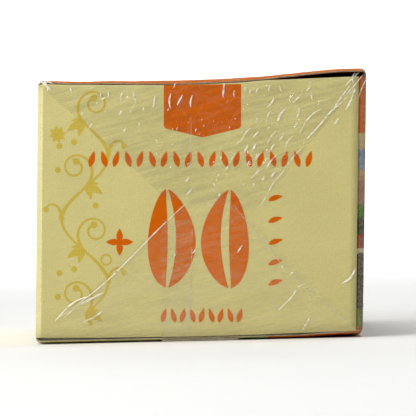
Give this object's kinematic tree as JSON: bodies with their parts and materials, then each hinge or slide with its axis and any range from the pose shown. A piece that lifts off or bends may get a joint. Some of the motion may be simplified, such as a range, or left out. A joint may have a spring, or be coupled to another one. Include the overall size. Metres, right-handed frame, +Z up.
{
  "type": "tea box",
  "caption": "Shut folding carton for tea bags in a clear overwrap, with folded end flaps, envelope-folded film ends and a slightly out-of-square, worn shape.",
  "frame": {"origin": "centre of the whole pack's bounding box, at its bottom, where the film meets the surface", "axes": "+Z up, +Y along the pack's length towards its far end, +X towards the front panel, so the pictured end faces -Y"},
  "size_m": [0.0876, 0.1338, 0.0696],
  "materials": {
    "board": "printed folding board, satin varnish",
    "film": "clear glossy overwrap"
  },
  "bodies": {
    "root": {"carton": "board", "film": "film"}
  },
  "joints": []
}
